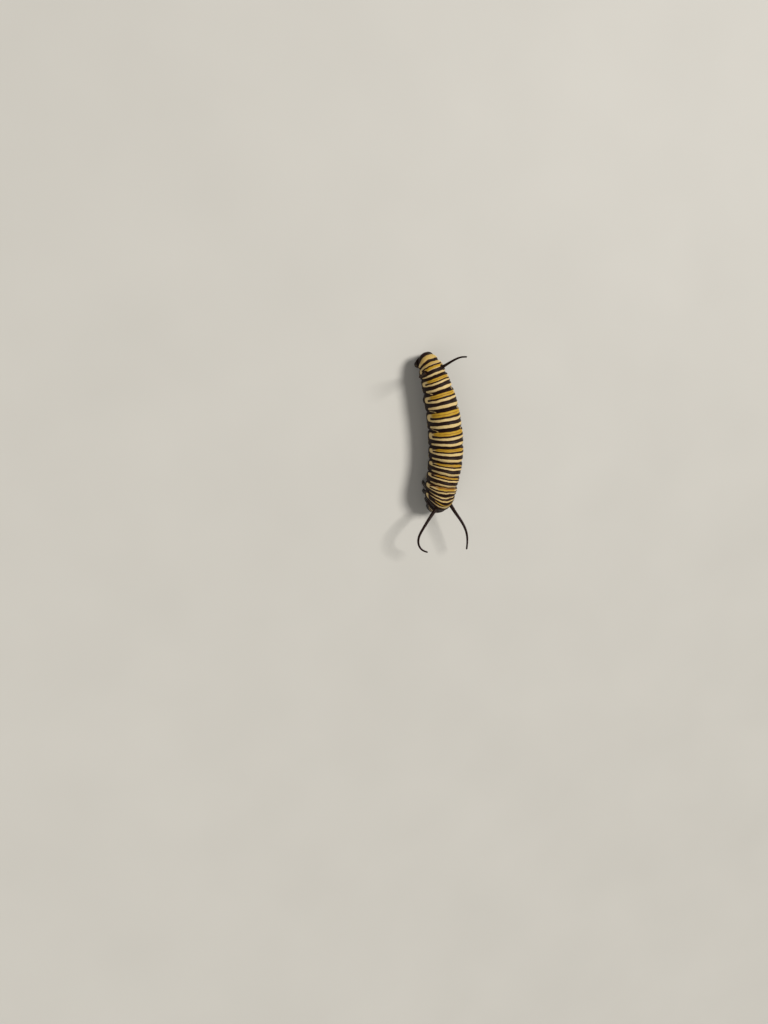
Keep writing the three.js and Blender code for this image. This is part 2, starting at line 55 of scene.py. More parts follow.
# Rings of the body: length, width, yaw towards the larva's left, rise and roll, and how far their
# folds and bands trail on the right flank and on the left
RINGS = {
    "thorax_1": (1.55, 4.6, 6, 66, 20, 0.8, 0.1),
    "thorax_2": (2.65, 6.25, 3, 28, 16, 1.3, 0.1),
    "thorax_3": (1.98, 7.1, 6, 4, 8, 0.8, 0.15),
    "abdomen_1": (2.24, 7.15, 13, -3, 3, 0.5, 0.5),
    "abdomen_2": (2.8, 7.4, 10.5, -5, 1, 0.55, 0.65),
    "abdomen_3": (3.37, 7.6, 4, -4, 0, 0.65, 0.8),
    "abdomen_4": (4.1, 7.65, -3.5, -1, 0, 0.35, 0.5),
    "abdomen_5": (4.41, 7.35, -8.5, 0, 0, 0.05, 0.05),
    "abdomen_6": (4.17, 6.95, -13.5, 0, 0, 0, 0),
    "abdomen_7": (3.35, 6.15, -17.5, -2, 0, 0, 0),
    "abdomen_8": (2.85, 5.4, -21, -9, 0, -0.25, -0.25),
    "abdomen_9": (1.3, 4.3, -30, -22, 0, -0.5, -0.5),
    "abdomen_10": (1.0, 3.3, -37, -38, 0, 0, 0),
}
TRAIL = {"most": 90, "power": 1.5, "back": (98, 140)}
ANCHOR = {"ring": "abdomen_4", "part": 0.365, "at": (1.633, 2.883, 4.6)}
BACK_HEIGHT = 0.97  # of the half width
BELLY_DEPTH = 0.9  # of the half width
NECK = {"width": 0.86, "length": 0.7}
TAIL = {"length": 1.25, "power": 2.4, "least": 0.004}
FLANK_FOLD = (15, 0.16)
FLANK_FOLD_ANGLE = 116

# Relief of the skin: the folds between rings, the swell of each ring, and creases inside one as
# place, depth and width
FOLD = {"depth": 0.2, "width": 0.13, "power": 1.3}
SWELL = (0.42, 0.2)
CREASES = [(0.37, 0.1, 0.24), (0.62, 0.06, 0.09), (0.8, 0.03, 0.06), (0.18, 0.03, 0.07)]
CREASE_FADE = {"part": 0.6, "down": (78, 100)}
LOBE = {"part": 0.68, "angle": 80, "spread": 17, "height": 0.11, "length": 0.26}
WRINKLE = {"height": 0.03, "size": (0.16, 1.6, 1.6)}

# Filaments: ring, place in it and angle of the roots with the radii there and at the tips, and for each
# one its side, length, headings and rises
FRONT_FILAMENT = ("thorax_2", 0.2, 44, 0.42, 0.19)
REAR_FILAMENT = ("abdomen_8", 0.35, 47, 0.33, 0.17)
FILAMENTS = {
    "filament_front_right": (FRONT_FILAMENT, -1, 12.65, (-48, -42, -37, -28, 1, 32, 64),
                             (26, 20, 11, -1, -13, -18, -16)),
    "filament_front_left": (FRONT_FILAMENT, 1, 11.55, (27, 31, 30, 24, 14, 7, 1),
                            (26, 27, 12, 1, -9, -17, -18)),
    "filament_rear_right": (REAR_FILAMENT, -1, 5.8, (-97, -88, -78, -68), (74, 66, 57, 47)),
    "filament_rear_left": (REAR_FILAMENT, 1, 5.8, (128, 124, 112, 90), (40, 30, 13, -7)),
}
FILAMENT_TAPER = 0.7
ROOT_GAP = 0.2
ROOT_SUNK = 0.9
ROOT_PATCH = 0.3  # how far the black round a root reaches

# Fleshy legs
PROLEG = {"part": 0.52, "angle": 143, "root": 1.42, "spread": 1.75, "ahead": 0, "along": 1.12}
ANAL_LEG = {"part": 0, "angle": 130, "root": 1.1, "spread": 1.35, "ahead": 0.75, "along": 1.05}
PROLEG_LEVELS = (0, 0.08, 0.16, 0.3, 0.5, 0.75, 1)
PROLEG_PARTS = (0.58, 0.68, 0.62, 0.7, 0.84, 0.98, 1)
PROLEG_CREASES = [(0.6, 0.05, 0.05), (0.38, 0.04, 0.04)]
PROLEG_LEAN = 1.25
PROLEG_SUNK = 0.3
PROLEG_REACH = 3.2
SOLE_EDGE = 0.12
SPOT = {"level": 0.62, "radius": 0.36, "flat": 0.7}
SIDES = {"left": 1, "right": -1}

# Jointed legs: the hip's place in the ring and angle, how far out and back the tip stands, and radius
THORAX_LEGS = {
    "thorax_1": (0.4, 146, 0, -0.75, 0.36),
    "thorax_2": (0.54, 147, 0.15, 0.4, 0.42),
    "thorax_3": (0.5, 147, 0.45, 0.7, 0.47),
}
HIP_SUNK = 0.28
KNEE = {"part": 0.42, "out": 0.3}
ANKLE_HEIGHT = 0.45
LEG_PLACES = (0, 0.28, 0.35, 0.44, 0.56, 0.64, 0.74, 0.8, 0.88, 0.92)
LEG_PARTS = (1.32, 1.26, 1.02, 1.1, 0.86, 0.9, 0.7, 0.58, 0.5, 0.3)
LEG_JOINTS = {"places": (0.35, 0.57, 0.77), "width": 0.018, "depth": 0.16}
LEG_SIDES = 26
CLAW = {"radius": 0.1, "hook": 0.16, "thins": 0.85}

# Head, in its own frame: x to the larva's right, y out of the face and z up to the crown
FACE_DOWN = 76
HEAD_HALF = np.array([1.76, 1.22, 1.66])
HEAD_BACK = 1.1
HEAD_AHEAD = 0.68
HEAD_ASIDE = 0.3
CROWN_NOTCH = (0.32, 0.2)
CROWN_SEAM = (0.05, 0.06)
FRONS_SEAM = (0.035, 0.035)
STEMMA = {"toward": (1.45, 0.3, -0.45), "radius": 0.13, "arc": 0.3, "inner": -0.06}
STEMMA_PLACES = (-115, -58, 0, 58, 115)
STEMMA_RIM = [(-0.08, 1.3), (-0.01, 1.22), (0.012, 1.1), (0.016, 0.9)]
FEELER = {"toward": (0.98, 0.56, -0.95), "aim": (0.45, 0.3, -0.85), "radius": 0.23}

# Marks of the face, as lines in degrees from its middle: out to one side, and up
FRONS_MARK = {"line": [(1, 25), (13, 0), (27, -37)], "half": 0.085}
ARCH_MARK = {"line": [(57, -28), (63, 0), (55, 32), (36, 60), (17, 84), (10, 110)], "half": 0.15}
DEGREE_OF_HEAD = 0.027

# Curves

def smooth(places, values):
    """A curve through values at uneven places, level beyond its ends."""
    places, values = np.array(places, float), np.array(values, float)
    slope = np.gradient(values, places)

    def curve(where):
        at = np.clip(where, places[0], places[-1])
        i = np.clip(np.searchsorted(places, at) - 1, 0, len(places) - 2)
        width = places[i + 1] - places[i]
        t = (at - places[i]) / width
        start = (1 + 2 * t) * (1 - t) ** 2 * values[i] + t * (1 - t) ** 2 * width * slope[i]
        end = t * t * (3 - 2 * t) * values[i + 1] - t * t * (1 - t) * width * slope[i + 1]
        return start + end

    return curve


def route(length, direction, start):
    """The way of a point from start, in a direction that changes smoothly."""
    step = 0.02
    count = math.ceil(length / step)
    places = np.linspace(0, length, count + 1)
    moves = direction((places[1:] + places[:-1]) / 2) * (length / count)
    points = np.vstack([start, start + np.cumsum(moves, axis=0)])
    return lambda s: vector(*(np.interp(s, places, column) for column in points.T))


def heading(yaw, rise):
    yaw, rise = np.radians(yaw), np.radians(rise)
    return vector(np.sin(yaw) * np.cos(rise), np.cos(yaw) * np.cos(rise), np.sin(rise))


def vector(*parts):
    return np.stack(np.broadcast_arrays(*parts), axis=-1)


def unit(vectors):
    return vectors / np.linalg.norm(vectors, axis=-1, keepdims=True)


def dot(a, b):
    return (a * b).sum(axis=-1)


def from_segment(points, start, end):
    """How far points are from a straight piece of line."""
    run = end - start
    t = np.clip(dot(points - start, run) / dot(run, run), 0, 1)
    return np.linalg.norm(points - start - t[:, None] * run, axis=1)


def circle(count):
    """Even angles all the way round."""
    return np.linspace(0, 2 * math.pi, count, endpoint=False)


def bell(distance, width, height=1.0):
    return height * np.exp(-((distance / width) ** 2))


def step_up(value, low, high):
    """0 below low and 1 above high, with a smooth rise between."""
    t = np.clip((value - low) / (high - low), 0, 1)
    return t * t * (3 - 2 * t)


def ripple(place, size, seed):
    """Smooth random values of about -1 to 1, in waves of a size along each coordinate."""
    waves = 20
    draw = np.random.default_rng(seed)
    total = np.zeros(len(place))
    for _ in range(waves):
        direction = draw.normal(size=3) / np.array(size)
        total += np.sin(place @ direction + draw.uniform(0, 2 * math.pi))
    return total / math.sqrt(waves)


# Body tube: s is the distance along its axis, and the angle goes round it from the middle of the
# back, with the larva's left side positive

EDGES = np.concatenate([[0], np.cumsum([row[0] for row in RINGS.values()])])
LENGTH = EDGES[-1]
MIDDLES = (EDGES[1:] + EDGES[:-1]) / 2
STARTS = dict(zip(RINGS, EDGES))
width_at, yaw_at, rise_at, roll_at, right_trail_at, left_trail_at = (
    smooth(MIDDLES, [row[column] for row in RINGS.values()]) for column in range(1, 7)
)


def tangent_at(s):
    return heading(yaw_at(s), rise_at(s))


def place_on(ring, part):
    return STARTS[ring] + part * RINGS[ring][0]


loose_axis = route(LENGTH, tangent_at, np.zeros(3))
AXIS_SHIFT = np.array(ANCHOR["at"]) - loose_axis(place_on(ANCHOR["ring"], ANCHOR["part"]))


def frame_at(s):
    """The axis there, its direction, and the ways to the larva's left and to its back."""
    yaw, roll = np.radians(yaw_at(s)), np.radians(roll_at(s))[..., None]
    tangent = tangent_at(s)
    level = vector(np.cos(yaw), -np.sin(yaw), 0)
    side = level * np.cos(roll) + np.cross(tangent, level) * np.sin(roll)
    return loose_axis(s) + AXIS_SHIFT, tangent, side, np.cross(side, tangent)


def end_part(s):
    """How much of its width the tube has near its two ends."""
    front = np.clip(1 - s / NECK["length"], 0, 1)
    rear = np.clip(1 - (LENGTH - s) / TAIL["length"], 0, 1)
    rear_part = np.sqrt(np.maximum(1 - rear ** TAIL["power"], TAIL["least"]))
    return (1 - (1 - NECK["width"]) * front**2) * rear_part


def ring_place(s, angle):
    """Where on the back the ring lies that comes down to a place of the skin."""
    down = np.abs(angle)
    part = (np.minimum(down, TRAIL["most"]) / TRAIL["most"]) ** TRAIL["power"]
    trail = np.where(np.asarray(angle) > 0, left_trail_at(s), right_trail_at(s))
    return s - trail * part * (1 - step_up(down, *TRAIL["back"]))


def relief(s, angle):
    """How deep the folds and creases lie under the crests of the rings."""
    s, down = ring_place(s, angle), np.abs(angle)
    depth = np.zeros_like(s)
    for edge in EDGES[1:-1]:
        depth += FOLD["depth"] * np.exp(-((np.abs(s - edge) / FOLD["width"]) ** FOLD["power"]))
        depth += bell(s - edge, *SWELL)
    on_back = 1 - CREASE_FADE["part"] * step_up(down, *CREASE_FADE["down"])
    lobe = bell(down - LOBE["angle"], LOBE["spread"])
    for name, row in RINGS.items():
        for part, deep, wide in CREASES:
            depth += deep * on_back * bell(s - place_on(name, part), wide)
        depth -= LOBE["height"] * lobe * bell(s - place_on(name, LOBE["part"]), LOBE["length"] * row[0])
    return depth


def tube_half(s, angle):
    """Half the width of the plain tube, before its relief and its ends."""
    return width_at(s) / 2 + bell(np.abs(angle) - FLANK_FOLD_ANGLE, *FLANK_FOLD)


def body_half(s, angle):
    """Half the body's width at a place of the skin."""
    return (tube_half(s, angle) - relief(s, angle)) * end_part(s)


def skin_point(s, angle, out=0.0):
    """A point on the plain tube, or that far out from it."""
    s, angle = np.broadcast_arrays(np.asarray(s, float), np.asarray(angle, float))
    middle, _, side, up = frame_at(s)
    half = tube_half(s, angle) * end_part(s) + out
    around = np.radians(angle)
    tall = np.where(np.cos(around) > 0, BACK_HEIGHT, BELLY_DEPTH)
    return middle + side * (half * np.sin(around))[..., None] + up * (half * tall * np.cos(around))[..., None]


def on_body(points):
    """The s and angle of points, how far they are from the axis, and how far past its ends."""
    samples = np.linspace(0, LENGTH, 200)
    s = np.interp(points[:, 1], (loose_axis(samples) + AXIS_SHIFT)[:, 1], samples)
    rounds, pace = 14, 0.9
    for _ in range(rounds):
        middle, tangent, _, _ = frame_at(s)
        s = np.clip(s + pace * dot(points - middle, tangent), 0, LENGTH)
    middle, tangent, side, up = frame_at(s)
    away = points - middle
    x, z = dot(away, side), dot(away, up)
    z = z / np.where(z > 0, BACK_HEIGHT, BELLY_DEPTH)
    return s, np.degrees(np.arctan2(x, z)), np.hypot(x, z), np.abs(dot(away, tangent))


# Meshes

def closed_tube(rings, looped=False):
    """Points and faces of a tube through rings of points, capped or looped onto itself."""
    rows, sides, _ = rings.shape
    row, side = np.arange(rows if looped else rows - 1)[:, None], np.arange(sides)
    beyond, after = (row + 1) % rows, (side + 1) % sides
    corners = [row * sides + side, row * sides + after, beyond * sides + after, beyond * sides + side]
    faces = vector(*corners).reshape(-1, 4).tolist()
    if not looped:
        faces += [list(range(sides))[::-1], list(range((rows - 1) * sides, rows * sides))]
    return rings.reshape(-1, 3), faces


def sweep(line, radii, sides):
    """A round tube along a line of points, closed at both ends."""
    tangents = unit(np.gradient(line, axis=0))
    across = unit(np.cross(tangents[0], (0.3, 0.2, 1.0)))
    around = circle(sides)[:, None]
    rings = []
    for middle, tangent, radius in zip(line, tangents, radii):
        across = unit(across - tangent * dot(across, tangent))
        way = across * np.cos(around) + np.cross(tangent, across) * np.sin(around)
        rings.append(middle + way * radius)
    return closed_tube(np.array(rings))


def through(points, count):
    """Even points on a smooth curve through a few."""
    steps = np.linalg.norm(np.diff(points, axis=0), axis=1)
    places = np.concatenate([[0], np.cumsum(steps)])
    where = np.linspace(0, places[-1], count)
    return vector(*(smooth(places, column)(where) for column in np.transpose(points)))


def ball(rows, sides, power=1.0):
    """Points of a ball in rows from the top down, more boxlike with a lower power."""
    pole = 0.02
    down = np.linspace(pole, math.pi - pole, rows)[:, None]
    around = circle(sides)
    points = vector(np.sin(down) * np.sin(around), np.sin(down) * np.cos(around), np.cos(down))
    return np.sign(points) * np.abs(points) ** power


def joined(parts):
    """Several lists of points and faces as one."""
    points, faces, count = [], [], 0
    for some, their_faces in parts:
        points.append(some)
        faces += [[i + count for i in face] for face in their_faces]
        count += len(some)
    return np.vstack(points), faces


def mesh_of(name, points, faces, scale=MM):
    mesh = bpy.data.meshes.new(name)
    mesh.from_pydata((points * scale).tolist(), [], faces)
    mesh.update()
    return mesh


def placed(name, data):
    """A new object in the scene."""
    item = bpy.data.objects.new(name, data)
    bpy.context.scene.collection.objects.link(item)
    return item


def show(name, mesh, material, nodes=()):
    """Puts a mesh in the scene as a smooth piece that stands for the given nodes."""
    piece = placed(name, mesh)
    mesh.polygons.foreach_set("use_smooth", [True] * len(mesh.polygons))
    mesh.materials.append(material)
    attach(piece, "root")
    if nodes:
        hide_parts(*nodes)


def remeshed(parts):
    """One even surface round several closed shells, still in millimetres."""
    rough = placed("skin", mesh_of("skin", *joined(parts), scale=1))
    remesh = rough.modifiers.new("remesh", "REMESH")
    remesh.mode = "VOXEL"
    remesh.voxel_size = SKIN_VOXEL
    bpy.context.view_layer.update()
    fine = bpy.data.meshes.new_from_object(rough.evaluated_get(bpy.context.evaluated_depsgraph_get()))
    bpy.data.objects.remove(rough)
    return fine


def vectors_of(items, key):
    """A vector of each point of a mesh."""
    found = np.zeros(len(items) * 3, np.float32)
    items.foreach_get(key, found)
    return found.reshape(-1, 3).astype(float)


def set_points(mesh, points):
    mesh.vertices.foreach_set("co", points.astype(np.float32).ravel())
    mesh.update()


def mark(mesh, name, values):
    """Keeps a number for each point of a mesh, for its material to read."""
    layer = mesh.attributes.new(name, "FLOAT", "POINT")
    layer.data.foreach_set("value", values.astype(np.float32))


def add(name, shape, material, nodes=(), pale=None):
    """Shows points and faces as a piece, with how pale each point is."""
    mesh = mesh_of(name, *shape)
    if pale is not None:
        mark(mesh, "pale", pale)
    show(name, mesh, material, nodes)


# Skin: one field, below 0 inside it, that the even mesh is drawn to

SKIN_VOXEL = 0.085
FAR = 9.0
BLEND = {"leg": 0.35, "filament": 0.16}


def blended(a, b, reach):
    """The lower of two fields, rounded over where they meet."""
    part = np.clip(0.5 + 0.5 * (b - a) / reach, 0, 1)
    return b + (a - b) * part - reach * part * (1 - part)


def body_field(points):
    s, angle, away, beyond = on_body(points)
    place = skin_place(ring_place(s, angle), angle)
    wrinkles = WRINKLE["height"] * ripple(place, WRINKLE["size"], seed=4)
    half = body_half(s, angle) + wrinkles * end_part(s)
    step = 0.03
    slope = (body_half(s + step, angle) - body_half(s - step, angle)) / (2 * step)
    return np.maximum((away - half) / np.hypot(1, slope), beyond), s, angle


def skin_place(s, angle):
    """A place on the skin as a point of a straight tube, for patterns that follow the body."""
    around = np.radians(angle)
    radius = 3.4
    return vector(s, radius * np.sin(around), radius * np.cos(around))


class Proleg:
    """A fleshy leg: level rings from the root inside the body down to a flat sole."""

    def __init__(self, ring, side, shape):
        middle, _, level, _ = frame_at(np.array(place_on(ring, shape["part"])))
        self.outward = side * unit(level * (1, 1, 0))
        self.rearward = side * np.array([-self.outward[1], self.outward[0], 0])
        skin = skin_point(place_on(ring, shape["part"]), side * shape["angle"])
        self.top = skin + (middle - skin) * PROLEG_SUNK
        self.sole = middle + self.outward * shape["spread"] - self.rearward * shape["ahead"]
        self.radius = np.array([shape["root"], shape["root"] * shape["along"]])

    def ring(self, level):
        """Middle and radii of the ring at each level, from 0 at the sole to 1 at the root."""
        lean = np.clip(level, 0, 1) ** PROLEG_LEAN
        middle = self.sole + (self.top - self.sole) * lean[..., None]
        middle[..., 2] = self.top[2] * level
        part = smooth(PROLEG_LEVELS, PROLEG_PARTS)(level)
        for place, depth, width in PROLEG_CREASES:
            part = part - depth * bell(level - place, width)
        return middle, part[..., None] * self.radius

    def shell(self):
        middle, radii = self.ring(np.linspace(0, 1, 16))
        around = circle(32)[None, :, None]
        across = radii[:, None, :1] * np.cos(around) * self.outward
        along = radii[:, None, 1:] * np.sin(around) * self.rearward
        return closed_tube(middle[:, None] + across + along)

    def field(self, points):
        level = points[:, 2] / self.top[2]
        middle, radii = self.ring(level)
        away = points - middle
        x, y = dot(away, self.outward) / radii[:, 0], dot(away, self.rearward) / radii[:, 1]
        side_wall = (np.hypot(x, y) - 1) * radii[:, 0]
        ends = np.maximum(-points[:, 2], points[:, 2] - self.top[2])
        return -blended(-side_wall, -ends, SOLE_EDGE)

    def near(self, points):
        return np.hypot(*(points - (self.top + self.sole) / 2)[:, :2].T) < PROLEG_REACH

    def spot(self, points):
        """Signed distance into the pale spot on the outer side."""
        middle, radii = self.ring(np.array([SPOT["level"]]))
        centre = middle[0] + self.outward * radii[0, 0]
        away = (points - centre) / np.array([1, 1, SPOT["flat"]])
        return SPOT["radius"] - np.linalg.norm(away, axis=1)


class Filament:
    """A soft feeler that follows a route and thins towards its blunt tip."""

    def __init__(self, root, side, length, turns, rises):
        ring, part, angle, wide, narrow = root
        places = (np.arange(len(turns)) + 0.5) * length / len(turns)
        turn, rise = smooth(places, turns), smooth(places, rises)
        ahead = np.array([1, -1, 1])
        start = skin_point(place_on(ring, part), side * angle, ROOT_GAP)
        base = start - heading(turn(0.0), rise(0.0)) * ahead * ROOT_SUNK
        way = route(length, lambda s: heading(turn(s), rise(s)) * ahead, start)
        places = np.linspace(0, length - narrow, 160)
        self.line = np.vstack([base, way(places)])
        thinned = (np.concatenate([[0], places]) / length) ** FILAMENT_TAPER
        self.radii = wide + (narrow - wide) * thinned

    def shell(self):
        return sweep(self.line, self.radii, 14)

    def field(self, points):
        best = np.full(len(points), FAR)
        for start, end, radius in zip(self.line[:-1], self.line[1:], self.radii):
            best = np.minimum(best, from_segment(points, start, end) - radius)
        return best

    def near(self, points):
        low, high = self.line.min(0) - 1, self.line.max(0) + 1
        return ((points > low) & (points < high)).all(axis=1)


PROLEGS = {}
for place in (3, 4, 5, 6, "anal"):
    ring, shape = ("abdomen_10", ANAL_LEG) if place == "anal" else (f"abdomen_{place}", PROLEG)
    for word, side in SIDES.items():
        PROLEGS[f"proleg_{place}_{word}"] = Proleg(ring, side, shape)
FEELERS = {name: Filament(*row) for name, row in FILAMENTS.items()}


def limb_field(limbs, points):
    """The lowest field of several limbs, each asked only about the points near it."""
    field = np.full(len(points), FAR)
    for limb in limbs:
        near = limb.near(points)
        field[near] = np.minimum(field[near], limb.field(points[near]))
    return field


def skin_field(points):
    body, s, angle = body_field(points)
    legs = limb_field(PROLEGS.values(), points)
    feelers = limb_field(FEELERS.values(), points)
    skin = blended(blended(body, legs, BLEND["leg"]), feelers, BLEND["filament"])
    return skin, s, angle, body, legs, feelers


def body_shell():
    s = np.linspace(0, LENGTH, 260)[:, None]
    angle = (np.linspace(0, 360, 96, endpoint=False) + 180) % 360 - 180
    return closed_tube(skin_point(s, angle))


# Markings: signed distances in millimetres, above 0 inside a mark

# Thin lines that slant down a flank, in millimetres along the ring and degrees down: a pale fork that is
# painted highlight on the fold behind the loops of the middle rings, the second branch of thorax_2's loop,
# and a dark slit in the others
# The pale fork is painted highlight: light caught on the fold between rings, drawn as pale skin
FOLD_HIGHLIGHT = {"at": -1.14, "slope": 0.022, "from": 39, "to": 71, "half": 0.13}
SLIT = {"at": 0.59, "slope": -0.013, "from": 33, "to": 68, "half": 0.08}
BRANCH = {"at": 1.385, "slope": 0.0055, "from": -20, "to": 50, "half": 0.125}
LINE_END = 0.03  # half width for each degree from an end
LOWER = {1: 11, -1: 0}  # how many degrees lower the pale ones start on each flank

# Bands of each ring: start and end as parts of its length, and reach down the flanks. Dark lines lie
# inside the pale loops, slits follow the loops' ends, and gold has start, end and strength.
SHORTER = {"first": 17, "line": 24}
STREAK_REACH = 54


def typical(first, loop, line, streak, reach, gold_to, fold_highlight=False):
    """The bands of a ring with a plain band and, behind it, a loop round a dark line."""
    # The middle rings get the painted highlight on the fold behind their loop, the others a dark slit
    behind = {"lines": [FOLD_HIGHLIGHT]} if fold_highlight else {"slits": [loop[1]]}
    return {"pale": [(*first, reach - SHORTER["first"]), (*loop, reach)],
            "dark": [(*line, reach - SHORTER["line"])], "gold": [(line[0], loop[1], 1)],
            "gold_to": gold_to, "streak": [(*streak, STREAK_REACH)], **behind}


BANDS = {
    "thorax_1": {"pale": [(-0.02, 0.16, 84), (0.4, 0.6, 90)]},
    "thorax_2": {"pale": [(0.33, 0.87, 96)], "dark": [(0.475, 0.745, 78)], "lines": [BRANCH],
                 "gold": [(0.42, 0.65, 0.9), (0.74, 0.87, 0.5)], "gold_to": (50, 64)},
    "thorax_3": typical((-0.07, 0.11), (0.345, 0.9), (0.515, 0.595), (0.75, 0.86), 94, (26, 46)),
    "abdomen_1": typical((-0.02, 0.17), (0.43, 0.875), (0.6, 0.695), (0.765, 0.815), 93, (38, 60)),
    "abdomen_2": typical((-0.01, 0.195), (0.43, 0.87), (0.59, 0.67), (0.75, 0.79), 92, (42, 62)),
    "abdomen_3": typical((0.015, 0.22), (0.43, 0.91), (0.615, 0.7), (0.79, 0.83), 91, (48, 66)),
    "abdomen_4": typical((0.08, 0.26), (0.435, 0.935), (0.6, 0.69), (0.785, 0.815), 91, (54, 70)),
    "abdomen_5": typical((0.12, 0.29), (0.455, 0.935), (0.605, 0.69), (0.795, 0.825), 91, (54, 70), True),
    "abdomen_6": typical((0.12, 0.3), (0.465, 0.89), (0.61, 0.68), (0.77, 0.8), 91, (46, 64), True),
    "abdomen_7": typical((0.06, 0.255), (0.455, 0.855), (0.595, 0.655), (0.735, 0.765), 90, (42, 60), True),
    "abdomen_8": {"pale": [(0.02, 0.2, 74), (0.42, 0.94, 86)], "dark": [(0.655, 0.72, 62)],
                  "gold": [(0.4, 0.65, 1), (0.7, 0.94, 0.6)], "gold_to": (34, 56)},
    "abdomen_9": {"pale": [(0.2, 0.86, 88)], "gold": [(0.1, 0.86, 0.5)], "gold_to": (50, 70)},
}
NARROWS = {"pale": 0.32, "dark": -0.4}
BAND_CORNER = 0.42
GOLD_EDGE = (0.1, 0.3)
NOISES = [(0.06, (0.9, 1.1, 1.1), 11), (0.025, (0.3, 0.35, 0.35), 12)]  # height, size and seed
REACH_VARIES = 3
PATCHES = {"abdomen": (113, 0.4), "thorax": (121, 0.22)}  # degrees down and half width
PATCH = {"start": 0.13, "end": 0.9, "waist": 0.42, "waist_at": 0.1, "waist_width": 0.3, "sway": 3.5,
         "turns": 2.4}
SHIELD = (0.28, 1.02, 2.5)
TAIL_PLATE = (EDGES[-2] + 0.12, LENGTH + 1, 1.9)


def band(along, across, start, end, reach, narrows=NARROWS["pale"]):
    """Inside a band that runs from start to end along the body and that far down one flank."""
    half = (end - start) / 2 * (1 - narrows * np.clip(across / reach, 0, 1) ** 3)
    corner = BAND_CORNER * (end - start)
    q_along = np.abs(along - (start + end) / 2) - (half - corner)
    q_across = across - (reach - corner)
    outside = np.hypot(np.maximum(q_along, 0), np.maximum(q_across, 0))
    return corner - outside - np.minimum(np.maximum(q_along, q_across), 0)


def thin_line(along, down, line):
    """Inside a thin slanting line with drawn-out ends."""
    beside = line["half"] - np.abs(along - line["at"] - line["slope"] * down)
    return np.minimum(beside, np.minimum(down - line["from"], line["to"] - down) * LINE_END)


def flank_patch(part, down, name):
    """Inside the wavy patch of a ring low on its flank, which is drawn in at its middle."""
    angle, reach = PATCHES[name.split("_")[0]]
    run = 2 * (part - PATCH["start"]) / (PATCH["end"] - PATCH["start"]) - 1
    half = reach * np.sqrt(np.maximum(1 - np.abs(run) ** 2.5, 0))
    half = half * (1 - PATCH["waist"] * bell(run - PATCH["waist_at"], PATCH["waist_width"]))
    half = half - 0.06 * (np.abs(run) > 1)
    middle = angle + PATCH["sway"] * np.sin(PATCH["turns"] * run)
    return half - np.abs(down - middle) * math.radians(RINGS[name][1] / 2)


def ring_marks(name, side, along, down, wobble, shift):
    """The marks of one ring on one flank, from millimetres along it and degrees down."""
    bands, (length, width) = BANDS[name], RINGS[name][:2]
    across = np.radians(down) * width / 2

    def inside(low, high, reach, kind="pale"):
        reach = math.radians(reach + shift) * width / 2
        return band(along, across, low * length, high * length, reach, NARROWS[kind])

    pale, golden, streak = no_marks(len(along))
    for row in bands["pale"]:
        pale = np.maximum(pale, inside(*row))
    for row in bands.get("dark", ()):
        pale = np.minimum(pale, -inside(*row, "dark"))
    for end in bands.get("slits", ()):
        pale = np.minimum(pale, -thin_line(along - end * length, down, SLIT))
    for line in bands.get("lines", ()):
        pale = np.maximum(pale, thin_line(along, down - LOWER[side], line))
    pale = np.maximum(pale, flank_patch(along / length, down, name) + 1.5 * wobble)
    for low, high, amount in bands.get("gold", ()):
        gold = amount * step_up(along, *(low * length + edge for edge in GOLD_EDGE))
        gold = gold * (along < high * length + GOLD_EDGE[0])
        golden = np.maximum(golden, gold * (1 - step_up(down, *bands["gold_to"])))
    for row in bands.get("streak", ()):
        streak = np.maximum(streak, inside(*row))
    return pale, golden, streak


def no_marks(count):
    return np.full(count, -1.0), np.zeros(count), np.full(count, -1.0)


def markings(s, angle):
    """Signed distances into pale skin and into streaks, and how golden the skin is."""
    s = ring_place(s, angle)
    wobble = sum(height * ripple(skin_place(s, angle), size, seed) for height, size, seed in NOISES)
    marks = dict(zip(("pale", "golden", "streak"), no_marks(len(s))))
    draw = np.random.default_rng(3)
    beyond = 0.6
    for name in BANDS:
        start, end = place_on(name, 0), place_on(name, 1)
        for side in SIDES.values():
            near = (s > start - beyond) & (s < end + beyond) & (angle * side >= 0)
            shift = draw.uniform(-REACH_VARIES, REACH_VARIES)
            along = s[near] - start + wobble[near]
            found = ring_marks(name, side, along, np.abs(angle[near]), wobble[near], shift)
            for whole, part in zip(marks.values(), found):
                whole[near] = np.maximum(whole[near], part)
    return marks


def plates(s, angle):
    """How far a place is on the shield behind the head or on the plate over the tail."""
    across = np.abs(np.radians(angle)) * 3.0
    inside = np.maximum(band(s, across, *SHIELD), band(s, across, *TAIL_PLATE))
    return step_up(inside, -0.04, 0.06)


# Materials

